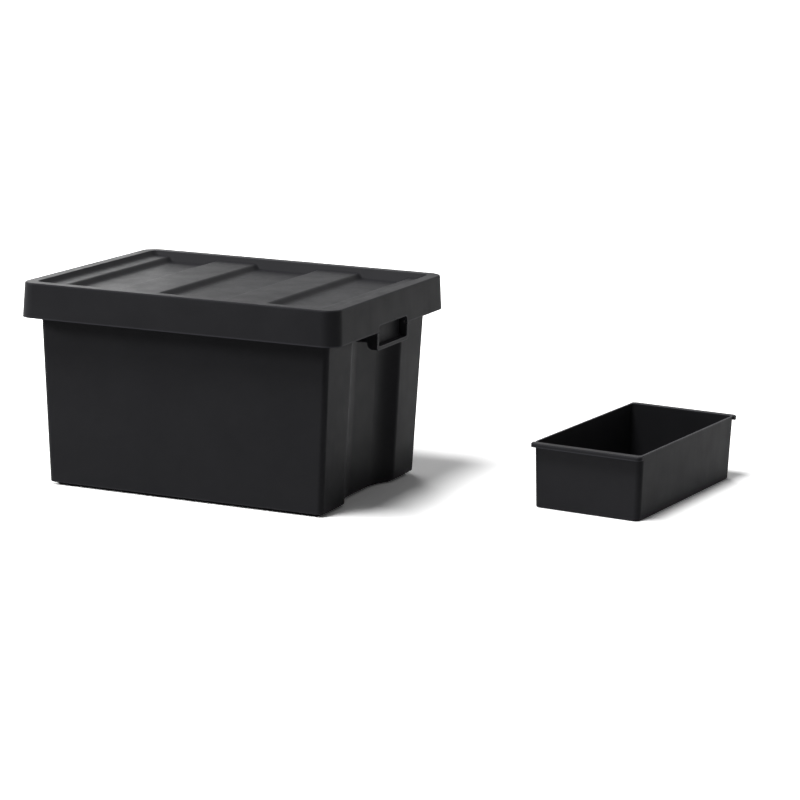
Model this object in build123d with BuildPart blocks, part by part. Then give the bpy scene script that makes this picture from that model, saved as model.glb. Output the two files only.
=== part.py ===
# Storage container with a lift-off lid and a loose hanging tray: three moulded plastic pieces.
# Millimetres, +Z up, origin at the middle of the container's base, +X towards one short end.
import os
from math import cos, hypot, radians, tan

from build123d import *

os.makedirs("parts", exist_ok=True)

# Shared clearances
overrun = 6.0  # how far a cutting solid runs past what it cuts
lid_clearance = 0.8  # between the rim and the skirt, and between the skirt and the grip's side walls
tray_clearance = 0.8  # between the hung tray and the container's wall, at each end
nearness = 0.01  # how close to a line an edge counts as being on it

# Container: tapered tub with a wide recess in each end
container_length = 348.4  # at the walls' lower edge
container_width = 260.4  # at the walls' lower edge
container_height = 236.1  # from the ground to the top of the rim, which carries the lid
container_draft = 2.06  # degrees that each wall leans outwards
container_corner = 6.2
container_wall = 2.6
container_floor = 3.0
base_edge = 0.8  # bevel of the walls' lower edge
foot_height = 3.4  # the walls stand clear of the ground by this much
foot_inset = 7.0  # from the walls in to the foot's side
foot_corner = 4.0
recess_mouth = 138.0  # width of an end recess between the pilasters' edges
recess_back = 91.0  # width of the recess where its sloped sides meet its back
recess_depth = 12.5
recess_side_radius = 70.0  # hollow where the sides run into the back
recess_edge_radius = 12.0  # rounding of the pilasters' edges

# Rim: a ledge for the tray, and an upstand that the lid sits on
ledge_drop = 19.7  # from the top of the rim down to the ledge
ledge_thickness = 2.6
rim_wall = 2.6

# Grip pocket at the top of each recess, flush with the lid's skirt
grip_width = 88.0
grip_side = 4.2  # thickness of its side walls
grip_bar = 4.3  # thickness of its bottom bar
grip_drop = 20.5  # from the skirt's lower edge to the underside of the bar
grip_depth = 10.0  # from the lip back to the pocket's back wall
grip_shelf_drop = 12.0  # from the skirt's lower edge to the shelf that carries the pocket
grip_corner = 4.0
grip_inner_corner = 3.0
grip_heel = 7.5  # rounding under the back of the pocket

# Lid: deep skirt, raised border, sunk panel with three cross channels
lid_length = 400.0  # at the skirt's lower edge
lid_width = 313.8  # at the skirt's lower edge
lid_skirt = 40.4
lid_draft = 2.76  # degrees that the skirt leans inwards
lid_corner = 18.0
lid_wall = 2.6
lid_edge = 1.8  # rounding of the border's outer edge
border_width = 13.5
border_edge = 1.2  # rounding of the border's inner edge
panel_corner = 11.0
panel_slope = 40.0  # degrees that the panel's surrounding wall leans from upright
panel_depth = 5.6  # from the border down to the raised bands
channel_depth = 11.3  # from the border down to the channels
channel_run = 6.0  # width of a channel's sloped side
channel_round = 5.5  # rounding at the head and foot of a channel's side
panel_foot = 4.0  # hollow where the surrounding wall meets the panel
centre_channel_share = 0.209  # channel width, between the middles of its sides, in the panel's length
side_channel_share = 0.162
band_share = 0.16  # raised band between two channels
notch_height = 7.4  # cut in the skirt's lower edge over each grip pocket
notch_corner = 3.5

# Tray: hangs across the container by its two end flanges
tray_width = 134.0  # at the top
tray_height = 76.1
tray_draft = 1.7  # degrees that each wall leans outwards
tray_corner = 7.0
tray_wall = 2.2
tray_floor = 2.4
tray_flange = 7.4  # how far a flange reaches past the end wall
tray_flange_ear = 1.6  # how far a flange reaches past each long wall
tray_lip = 4.8  # height of a flange's turned-down edge
tray_flange_corner = 6.0
tray_flange_edge = 1.0  # bevel of a flange's top edge
tray_base_edge = 1.2  # bevel of the edge that meets the ground
tray_place_x = 441.6  # where the tray stands on the ground, beside the container
tray_place_y = 159.8
tray_turn = -5.6  # degrees

# Worked out from the above
lean = tan(radians(container_draft))
floor_z = foot_height + container_floor
skirt_lean = tan(radians(lid_draft))
lid_top = container_height + lid_wall
skirt_z = lid_top - lid_skirt
ledge_z = container_height - ledge_drop
lid_top_length = lid_length - 2 * skirt_lean * lid_skirt
lid_top_width = lid_width - 2 * skirt_lean * lid_skirt
panel_length = lid_top_length - 2 * border_width
panel_width = lid_top_width - 2 * border_width
band_z = lid_top - panel_depth
channel_z = lid_top - channel_depth
centre_step = panel_length * centre_channel_share / 2
band_step = centre_step + panel_length * band_share
end_step = band_step + panel_length * side_channel_share
rim_length = lid_top_length - 2 * (lid_wall + lid_clearance)
rim_width = lid_top_width - 2 * (lid_wall + lid_clearance)
rim_corner = lid_corner - lid_wall - lid_clearance
lip_x = lid_length / 2
grip_back_x = lip_x - grip_depth
grip_opening = grip_width - 2 * grip_side
grip_bottom_z = skirt_z - grip_drop
grip_top_z = skirt_z - lid_clearance
shelf_z = skirt_z - grip_shelf_drop
pocket_top_z = skirt_z + notch_height + lid_clearance
collar_top_z = pocket_top_z + container_wall
collar_x = lip_x - lid_wall - lid_clearance - skirt_lean * (collar_top_z - skirt_z)


def tapered_block(foot, length, width, height, slope, corner):
    """A block on the plane foot, with rounded uprights and sides that lean outwards by slope."""
    with BuildPart() as block:
        with BuildSketch(foot):
            Rectangle(length, width)
        extrude(amount=height)
        draft(faces().filter_by(Axis.Z, reverse=True), foot, -slope)
        fillet(edges().filter_by(lambda e: e.bounding_box().size.Z > nearness), corner)
    return block.part


def container_form(inset, bottom, top, corner):
    """The tub with its end recesses as a solid, with every wall moved inwards by inset."""
    rise = lean * (bottom - foot_height)
    ramp = (recess_mouth - recess_back) / 2
    ramp_length = hypot(ramp, recess_depth)
    # a wall of even thickness widens the recess a little, seen from inside
    widen = inset * recess_depth / ramp_length - inset * ramp / recess_depth * (1 - ramp / ramp_length)
    mouth = recess_mouth / 2 + widen
    back = recess_back / 2 + widen
    end_x = container_length / 2 - inset + rise
    flare = overrun * ramp / recess_depth
    with BuildPart() as form:
        add(
            tapered_block(
                Plane.XY.offset(bottom),
                container_length + 2 * (rise - inset),
                container_width + 2 * (rise - inset),
                top - bottom,
                container_draft,
                corner,
            )
        )
        # each recess is cut along the lean of the end wall, so it is equally deep all the way up
        with BuildSketch(Plane.XY.offset(bottom)):
            with BuildLine():
                Polyline(
                    (end_x + overrun, mouth + flare),
                    (end_x - recess_depth, back),
                    (end_x - recess_depth, -back),
                    (end_x + overrun, -mouth - flare),
                    close=True,
                )
            make_face()
            fillet(vertices().sort_by(Axis.X)[:2], recess_side_radius + inset)
        recess = extrude(amount=2 * (top - bottom), dir=(lean, 0, 1), mode=Mode.PRIVATE)
        add(recess, mode=Mode.SUBTRACT)
        add(recess.mirror(Plane.YZ), mode=Mode.SUBTRACT)
        fillet(
            edges().filter_by(lambda e: abs(abs(e.center().Y) - mouth) < nearness),
            recess_edge_radius - inset,
        )
    return form.part


def grip_form(back_x, front_x, bottom, top, width, corner, heel):
    """A block rounded at its lower corners, seen from the front, and at its heel, seen from the side."""
    with BuildPart() as form:
        with BuildSketch(Plane.XZ):
            with BuildLine():
                Polyline((back_x, bottom), (front_x, bottom), (front_x, top), (back_x, top), close=True)
            make_face()
            fillet(vertices().group_by(Axis.Y)[0].sort_by(Axis.X)[0], heel)
        extrude(amount=width / 2, both=True)
        with BuildSketch(Plane.YZ.offset(back_x)):
            with BuildLine():
                Polyline(
                    (-width / 2, bottom),
                    (width / 2, bottom),
                    (width / 2, top),
                    (-width / 2, top),
                    close=True,
                )
            make_face()
            fillet(vertices().group_by(Axis.Y)[0], corner)
        extrude(amount=front_x - back_x, mode=Mode.INTERSECT)
    return form.part


grip_block = grip_form(
    grip_back_x - container_wall, lip_x, grip_bottom_z, grip_top_z, grip_width, grip_corner, grip_heel
)
grip_pocket = grip_form(
    grip_back_x,
    lip_x + overrun,
    grip_bottom_z + grip_bar,
    pocket_top_z,
    grip_opening,
    grip_inner_corner,
    grip_heel - container_wall,
)

with BuildPart() as container:
    add(container_form(0, foot_height, ledge_z, container_corner))
    chamfer(edges().group_by(Axis.Z)[0], base_edge)
    add(container_form(foot_inset, 0, floor_z, foot_corner))
    # the end walls step out over the shelves, up to the back of the grip pockets
    with BuildSketch(Plane.XY.offset(shelf_z)):
        Rectangle(2 * grip_back_x, grip_width)
    extrude(amount=ledge_z - shelf_z)
    # a collar behind the lid's skirt closes the pockets' sides and top
    with BuildSketch(Plane.XY.offset(shelf_z)):
        Rectangle(2 * collar_x, grip_width)
    extrude(amount=collar_top_z - shelf_z)
    with BuildSketch(Plane.XY.offset(ledge_z - ledge_thickness)):
        RectangleRounded(rim_length, rim_width, rim_corner)
    extrude(amount=container_height - ledge_z + ledge_thickness)
    add(grip_block)
    add(grip_block.mirror(Plane.YZ))
    # the hollow inside
    add(
        container_form(container_wall, floor_z, ledge_z, container_corner - container_wall),
        mode=Mode.SUBTRACT,
    )
    add(
        container_form(
            foot_inset + container_wall, container_floor, floor_z + overrun, foot_corner - container_wall
        ),
        mode=Mode.SUBTRACT,
    )
    with BuildSketch(Plane.XY.offset(shelf_z + container_wall)):
        Rectangle(2 * (grip_back_x - container_wall), grip_width - 2 * container_wall)
    extrude(amount=ledge_z - shelf_z, mode=Mode.SUBTRACT)
    with BuildSketch(Plane.XY.offset(ledge_z)):
        RectangleRounded(rim_length - 2 * rim_wall, rim_width - 2 * rim_wall, rim_corner - rim_wall)
    extrude(amount=ledge_drop + overrun, mode=Mode.SUBTRACT)
    add(grip_pocket, mode=Mode.SUBTRACT)
    add(grip_pocket.mirror(Plane.YZ), mode=Mode.SUBTRACT)
container.part.label = "container"
export_step(container.part, "parts/container.step")


def panel_form(grow):
    """The hollow over the sunk panel as a solid, with its walls and floor moved outwards by grow."""
    spread = grow / cos(radians(panel_slope)) - tan(radians(panel_slope)) * (channel_depth + overrun)
    half_run = channel_run / 2
    reach = lid_top_length / 2
    with BuildPart() as form:
        with BuildSketch(Plane.XZ):
            with BuildLine():
                Polyline(
                    (0, channel_z),
                    (centre_step - half_run, channel_z),
                    (centre_step + half_run, band_z),
                    (band_step - half_run, band_z),
                    (band_step + half_run, channel_z),
                    (end_step - half_run, channel_z),
                    (end_step + half_run, band_z),
                    (reach, band_z),
                    (reach, lid_top + overrun),
                    (0, lid_top + overrun),
                    close=True,
                )
            make_face()
            fillet(vertices().filter_by(lambda v: 0 < v.X < reach), channel_round)
            mirror(about=Plane.YZ)
            if grow:
                offset(amount=grow)
        extrude(amount=lid_top_width / 2, both=True)
        add(
            tapered_block(
                Plane.XY.offset(channel_z - overrun),
                panel_length + 2 * spread,
                panel_width + 2 * spread,
                channel_depth + 2 * overrun,
                panel_slope,
                panel_corner + grow,
            ),
            mode=Mode.INTERSECT,
        )
    return form.part


def skirt_form(inset, bottom, top):
    """The lid's outside as a solid block, with every side moved inwards by inset."""
    taper = 2 * (skirt_lean * (bottom - skirt_z) + inset)
    return tapered_block(
        Plane.XY.offset(bottom),
        lid_length - taper,
        lid_width - taper,
        top - bottom,
        -lid_draft,
        lid_corner - inset,
    )


with BuildPart() as panel_hollow:
    add(panel_form(0))
    # the foot of the surrounding wall: all the low edges but those along the channels' sides
    low = edges().filter_by(lambda e: e.bounding_box().max.Z < lid_top)
    across = low.filter_by(lambda e: e.bounding_box().size.Y > panel_width / 2)
    along_channels = across.filter_by(lambda e: abs(e.center().X) < end_step + channel_run)
    fillet([e for e in low if e not in along_channels], panel_foot)

with BuildPart() as lid_hollow:
    add(skirt_form(lid_wall, skirt_z - overrun, lid_top - lid_wall))
    add(panel_form(lid_wall), mode=Mode.SUBTRACT)

with BuildPart() as lid:
    add(skirt_form(0, skirt_z, lid_top))
    fillet(edges().group_by(Axis.Z)[-1], lid_edge)
    add(panel_hollow.part, mode=Mode.SUBTRACT)
    fillet(faces().sort_by(Axis.Z)[-1].inner_wires()[0].edges(), border_edge)
    add(lid_hollow.part, mode=Mode.SUBTRACT)
    with BuildSketch(Plane.YZ):
        with Locations((0, skirt_z)):
            Rectangle(grip_opening, 2 * notch_height)
        fillet(vertices().group_by(Axis.Y)[-1], notch_corner)
    extrude(amount=lid_length, both=True, mode=Mode.SUBTRACT)
lid.part.label = "lid"
export_step(lid.part, "parts/lid.step")

tray_lean = tan(radians(tray_draft))
tray_length = container_width + 2 * (lean * (ledge_z - foot_height) - container_wall - tray_clearance)
flange_width = tray_width + 2 * tray_flange_ear
flange_root = tray_length / 2 - tray_wall
tray_plane = Plane(origin=(tray_place_x, tray_place_y, 0)).rotated((0, 0, tray_turn))


def tray_form(inset, bottom, top):
    """The tapered tray as a solid block, with every wall moved inwards by inset."""
    taper = 2 * (tray_lean * (tray_height - bottom) + inset)
    return tapered_block(
        tray_plane.offset(bottom),
        tray_width - taper,
        tray_length - taper,
        top - bottom,
        tray_draft,
        tray_corner - inset,
    )


with BuildPart() as tray:
    with BuildSketch(tray_plane.offset(tray_height)):
        RectangleRounded(flange_width, tray_length + 2 * tray_flange, tray_flange_corner)
        Rectangle(flange_width + overrun, 2 * flange_root, mode=Mode.SUBTRACT)
    extrude(amount=-tray_lip)
    upper = edges().group_by(Axis.Z)[-1]
    chamfer(
        upper.filter_by(lambda e: abs(tray_plane.to_local_coords(e.center()).Y) > flange_root + nearness),
        tray_flange_edge,
    )
    # each flange is a thin shelf whose edge is turned down, with solid ears
    with BuildSketch(tray_plane.offset(tray_height - tray_wall)):
        RectangleRounded(
            tray_width - 2 * tray_wall,
            tray_length + 2 * (tray_flange - tray_wall),
            tray_flange_corner - tray_wall,
        )
    extrude(amount=-tray_lip, mode=Mode.SUBTRACT)
    add(tray_form(0, 0, tray_height))
    chamfer(faces().sort_by(Axis.Z)[0].edges(), tray_base_edge)
    add(tray_form(tray_wall, tray_floor, tray_height + overrun), mode=Mode.SUBTRACT)
tray.part.label = "tray"
export_step(tray.part, "parts/tray.step")
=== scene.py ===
# Storage container with a lift-off lid and a loose tray: three mouldings in satin black polypropylene.
from math import cos, radians, sin

import bpy
from mathutils import Matrix, Vector

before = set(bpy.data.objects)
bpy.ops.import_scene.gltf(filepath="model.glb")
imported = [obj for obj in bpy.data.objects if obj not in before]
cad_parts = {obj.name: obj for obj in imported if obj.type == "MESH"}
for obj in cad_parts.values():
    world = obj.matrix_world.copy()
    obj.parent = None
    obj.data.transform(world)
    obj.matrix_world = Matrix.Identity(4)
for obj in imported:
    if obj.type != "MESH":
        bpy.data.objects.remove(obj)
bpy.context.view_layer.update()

MM = 0.001

# Camera: the photograph's place and angle, with the image taken as 800 pixels square
image_pixels = 800
focal_pixels = 2794.1
sensor_width = 36.0  # mm
camera_place = Vector((1.4372, -2.8712, 0.7491))
camera_yaw = 23.139  # degrees round from looking along +Y
camera_pitch = 11.48  # degrees that it looks down
camera_roll = 1.26  # degrees
camera_reach = 100.0  # metres

# Mouldings: each one's material slot and the thickness of its wall
mouldings = {
    "container": ("container_plastic", 2.6 * MM),
    "lid": ("lid_plastic", 2.6 * MM),
    "tray": ("tray_plastic", 2.2 * MM),
}

# Colours of the plastic: where pigment is dense, where it is thin, and on rubbed edges, where the paler
# colour is partly wear and partly a painted highlight
deep_black = "#222224"
pale_black = "#252527"
wear_and_highlight_black = "#36363a"

# Patterns in the plastic: how far across a feature is, and how many finer layers it has
flow_pattern = (60 * MM, 3.0)
patch_pattern = (30 * MM, 4.0)
streak_pattern = (4 * MM, 2.0)
sink_pattern = (70 * MM, 1.0)
grain_pattern = (1.0 * MM, 2.0)  # three or four times the real size, so that it shows
streak_share = 0.03  # how much slower the streaks change along the draw than across it
noise_low, noise_high = 0.3, 0.7  # most of a pattern's values lie between these
sink_depth = 0.1 * MM
grain_depth = 0.02 * MM

# Gloss of the plastic
refraction = 1.49
gloss_level = 0.035  # well under the usual 0.5, because the grain leaves little shine
smooth_patch, rough_patch = 0.40, 0.48
streak_rough = 0.03  # more or less, in a streak

# Rubbed edges, paler partly from wear and partly as a painted highlight
edge_share = 0.8  # of a wall's thickness, over which an edge is rubbed
wear_highlight_start, wear_highlight_full = 0.96, 0.7  # share of looks inwards that meet no other face, from least to most worn and highlit
wear_highlight_most = 0.8  # share of the worn colour, which is also a painted highlight
wear_polish = 0.08  # less rough, where it is worn

# Studio
floor_size = 60.0  # metres
floor_bounce = "#808080"  # the paper as the light on the object sees it
floor_white = 1.15  # the paper as the camera and reflections see it
painted_floor_glow = 0.06  # the studio's air, as the paper shows it, emitted by the paper as painted light
painted_shadow_reach = 0.3  # metres over which the pieces darken that glow on the paper, a painted shadow
air_level = 0.12  # the air as the light on the object sees it
air_white = 1.0  # the air as the camera and reflections see it
nearness_samples = 8  # rays that look for what is near a point
key_level = 3.0  # watts on a square metre
key_spread = 20.0  # degrees across
key_direction = (333.0, 67.0)  # degrees round from the front towards the right, and up
# Soft lamps: watts, width and height in metres, place, and the point that they face
lamps = {
    "back_left_softbox": (3.8, 0.75, 0.6, (-0.95, 0.82, 0.48), (-0.15, 0.0, 0.24)),
    "front_left_softbox": (230.0, 1.2, 1.2, (-4.0, -2.25, 2.2), (0.0, -0.14, 0.12)),
    "back_fill": (85.0, 1.2, 0.6, (-2.2, 3.1, 0.8), (0.0, 0.1, 0.1)),
    "right_reflector": (4.0, 1.0, 0.1, (1.9, 1.0, 0.06), (0.2, 0.05, 0.1)),
    "tray_reflector": (0.2, 0.2, 0.05, (0.36, -0.16, 0.03), (0.52, 0.0, 0.03)),
}

# Sockets of a Mix node that mixes colours
first_colour, second_colour, mixed_colour = 6, 7, 2


def linear(hex_colour):
    """An sRGB hex colour as linear red, green, blue and alpha."""
    values = [int(hex_colour[i : i + 2], 16) / 255 for i in (1, 3, 5)]
    return [v / 12.92 if v <= 0.04045 else ((v + 0.055) / 1.055) ** 2.4 for v in values] + [1.0]


def add_node(tree, kind, links=None, **settings):
    """Adds a node to a tree with its settings, and links or sets its inputs."""
    node = tree.nodes.new(kind)
    for name, value in settings.items():
        setattr(node, name, value)
    for socket, value in (links or {}).items():
        if isinstance(value, bpy.types.NodeSocket):
            tree.links.new(value, node.inputs[socket])
        else:
            node.inputs[socket].default_value = value
    return node


def new_material(name):
    """An empty node material."""
    material = bpy.data.materials.new(name)
    material.use_nodes = True
    material.node_tree.nodes.clear()
    return material


# Moulded polypropylene: carbon black right through, low in gloss, with its mould's spark-eroded grain.
# To the eye it is a satin near-black, paler on handled edges, from wear and from a painted highlight, and
# where it is seen at a low angle.
def moulded_polypropylene(name, wall):
    material = new_material(name)
    tree = material.node_tree
    place = add_node(tree, "ShaderNodeTexCoord").outputs["Object"]

    def noise(size, detail, stretch=(1.0, 1.0, 1.0)):
        """Noise whose features are about so many metres across."""
        spread = add_node(tree, "ShaderNodeMapping", {"Vector": place, "Scale": stretch})
        return add_node(
            tree,
            "ShaderNodeTexNoise",
            {"Vector": spread.outputs["Vector"], "Scale": 1.0 / size, "Detail": detail},
        ).outputs["Fac"]

    # Pigment that is spread a little unevenly by the flow of the melt
    flow = add_node(
        tree,
        "ShaderNodeMapRange",
        {"Value": noise(*flow_pattern), "From Min": noise_low, "From Max": noise_high},
    )
    pigment = add_node(
        tree,
        "ShaderNodeMix",
        {
            "Factor": flow.outputs["Result"],
            first_colour: linear(deep_black),
            second_colour: linear(pale_black),
        },
        data_type="RGBA",
    )
    # Edges that hands and shelves have rubbed smoother, and paler both from wear and from a painted
    # highlight along them
    edge = add_node(
        tree,
        "ShaderNodeAmbientOcclusion",
        {"Distance": wall * edge_share},
        inside=True,
        only_local=True,
        samples=nearness_samples,
    )
    rubbed_and_highlit = add_node(
        tree,
        "ShaderNodeMapRange",
        {"Value": edge.outputs["AO"], "From Min": wear_highlight_start, "From Max": wear_highlight_full, "To Max": wear_highlight_most},
    )
    tone = add_node(
        tree,
        "ShaderNodeMix",
        {
            "Factor": rubbed_and_highlit.outputs["Result"],
            first_colour: pigment.outputs[mixed_colour],
            second_colour: linear(wear_and_highlight_black),
        },
        data_type="RGBA",
    )
    # Gloss that differs from patch to patch, with faint streaks where the mould was drawn off
    patch = add_node(
        tree,
        "ShaderNodeMapRange",
        {
            "Value": noise(*patch_pattern),
            "From Min": noise_low,
            "From Max": noise_high,
            "To Min": smooth_patch,
            "To Max": rough_patch,
        },
    )
    streak = add_node(
        tree,
        "ShaderNodeMapRange",
        {
            "Value": noise(*streak_pattern, stretch=(1.0, 1.0, streak_share)),
            "To Min": -streak_rough,
            "To Max": streak_rough,
        },
    )
    rough = add_node(tree, "ShaderNodeMath", {0: patch.outputs["Result"], 1: streak.outputs["Result"]})
    polished = add_node(
        tree,
        "ShaderNodeMath",
        {0: rubbed_and_highlit.outputs["Result"], 1: -wear_polish, 2: rough.outputs["Value"]},
        operation="MULTIPLY_ADD",
    )
    # Slight sink of the flat walls, and over it the grain
    sink = add_node(tree, "ShaderNodeBump", {"Height": noise(*sink_pattern), "Distance": sink_depth})
    grain = add_node(
        tree,
        "ShaderNodeBump",
        {"Height": noise(*grain_pattern), "Distance": grain_depth, "Normal": sink.outputs["Normal"]},
    )
    surface = add_node(
        tree,
        "ShaderNodeBsdfPrincipled",
        {
            "Base Color": tone.outputs[mixed_colour],
            "Roughness": polished.outputs["Value"],
            "IOR": refraction,
            "Specular IOR Level": gloss_level,
            "Normal": grain.outputs["Normal"],
        },
    )
    add_node(tree, "ShaderNodeOutputMaterial", {"Surface": surface.outputs["BSDF"]})
    return material


for node, (slot_name, wall) in mouldings.items():
    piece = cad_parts[node]
    piece.data.materials.clear()
    piece.data.materials.append(moulded_polypropylene("moulded_polypropylene_" + node, wall))


def seen_directly(tree):
    """Whether a ray comes from the camera or a reflection, as one or zero."""
    path = add_node(tree, "ShaderNodeLightPath")
    mirrored = add_node(
        tree,
        "ShaderNodeMath",
        {0: path.outputs["Is Glossy Ray"], 1: path.outputs["Is Transmission Ray"]},
        operation="MAXIMUM",
    )
    both = add_node(
        tree,
        "ShaderNodeMath",
        {0: path.outputs["Is Camera Ray"], 1: mirrored.outputs["Value"]},
        operation="MAXIMUM",
    )
    return both.outputs["Value"]


# Matt paper: white to the camera and to reflections, and a dull grey to the light that it casts back
def matt_paper(name):
    material = new_material(name)
    tree = material.node_tree
    seen = seen_directly(tree)
    shade = add_node(
        tree,
        "ShaderNodeMix",
        {
            "Factor": seen,
            first_colour: linear(floor_bounce),
            second_colour: (floor_white, floor_white, floor_white, 1.0),
        },
        data_type="RGBA",
    )
    sheet = add_node(tree, "ShaderNodeBsdfDiffuse", {"Color": shade.outputs[mixed_colour]})
    # Painted light: a glow of the air emitted by the paper, which fades close to the pieces as a painted
    # shadow
    clear = add_node(tree, "ShaderNodeAmbientOcclusion", {"Distance": painted_shadow_reach}, samples=nearness_samples)
    shown = add_node(tree, "ShaderNodeMath", {0: clear.outputs["AO"], 1: seen}, operation="MULTIPLY")
    level = add_node(
        tree,
        "ShaderNodeMath",
        {0: shown.outputs["Value"], 1: painted_floor_glow},
        operation="MULTIPLY",
    )
    glow = add_node(tree, "ShaderNodeEmission", {"Strength": level.outputs["Value"]})
    surface = add_node(tree, "ShaderNodeAddShader", {0: sheet.outputs["BSDF"], 1: glow.outputs["Emission"]})
    add_node(tree, "ShaderNodeOutputMaterial", {"Surface": surface.outputs["Shader"]})
    return material


# Floor
bpy.ops.mesh.primitive_plane_add(size=floor_size)
floor = bpy.context.object
floor.name = "studio_floor"
floor.data.materials.append(matt_paper("studio_paper"))


# Air of the studio: white to the camera and to reflections, and dim to the light on the object
def studio_air(name):
    world = bpy.data.worlds.new(name)
    world.use_nodes = True
    tree = world.node_tree
    tree.nodes.clear()
    level = add_node(
        tree,
        "ShaderNodeMapRange",
        {"Value": seen_directly(tree), "To Min": air_level, "To Max": air_white},
    )
    air = add_node(
        tree,
        "ShaderNodeBackground",
        {"Color": linear("#ffffff"), "Strength": level.outputs["Result"]},
    )
    add_node(tree, "ShaderNodeOutputWorld", {"Surface": air.outputs["Background"]})
    return world


bpy.context.scene.world = studio_air("studio_air")


def towards(azimuth, elevation):
    """A direction from the object, round from the front towards the right and up from the floor."""
    a, e = radians(azimuth), radians(elevation)
    return Vector((sin(a) * cos(e), -cos(a) * cos(e), sin(e)))


def add_lamp(name, kind, power, direction):
    """Adds a lamp that shines from a direction."""
    lamp = bpy.data.lights.new(name, kind)
    lamp.energy = power
    holder = bpy.data.objects.new(name, lamp)
    holder.rotation_mode = "QUATERNION"
    holder.rotation_quaternion = direction.to_track_quat("Z", "Y")
    bpy.context.scene.collection.objects.link(holder)
    return holder


# Key light: one broad sheet of light from high on the left of the camera
key = add_lamp("key_light", "SUN", key_level, towards(*key_direction))
key.data.angle = radians(key_spread)

# The softbox behind shades the lid's top from left to right, and the one in front lights the fronts.
# The fill and the right reflector show the back and the right end, and the tray's reflector is a low
# strip that lights the tray's front from below its rim. Only the softboxes show in the gloss.
for name, (watts, width, height, place, aim) in lamps.items():
    holder = add_lamp(name, "AREA", watts, Vector(place) - Vector(aim))
    holder.location = place
    holder.visible_camera = False
    holder.visible_glossy = name.endswith("softbox")
    holder.data.shape = "RECTANGLE"
    holder.data.size = width
    holder.data.size_y = height

# Camera
back = towards(camera_yaw, camera_pitch)
right = Vector((cos(radians(camera_yaw)), sin(radians(camera_yaw)), 0.0))
up = back.cross(right)
roll = radians(camera_roll)
side_axis = cos(roll) * right + sin(roll) * up
top_axis = cos(roll) * up - sin(roll) * right
camera = bpy.data.cameras.new("camera")
camera.sensor_width = sensor_width
camera.lens = focal_pixels / image_pixels * sensor_width
camera.clip_end = camera_reach
camera_holder = bpy.data.objects.new("camera", camera)
turn = Matrix((side_axis, top_axis, back)).transposed()
camera_holder.matrix_world = Matrix.Translation(camera_place) @ turn.to_4x4()
bpy.context.scene.collection.objects.link(camera_holder)
bpy.context.scene.camera = camera_holder
bpy.context.scene.view_settings.view_transform = "Standard"
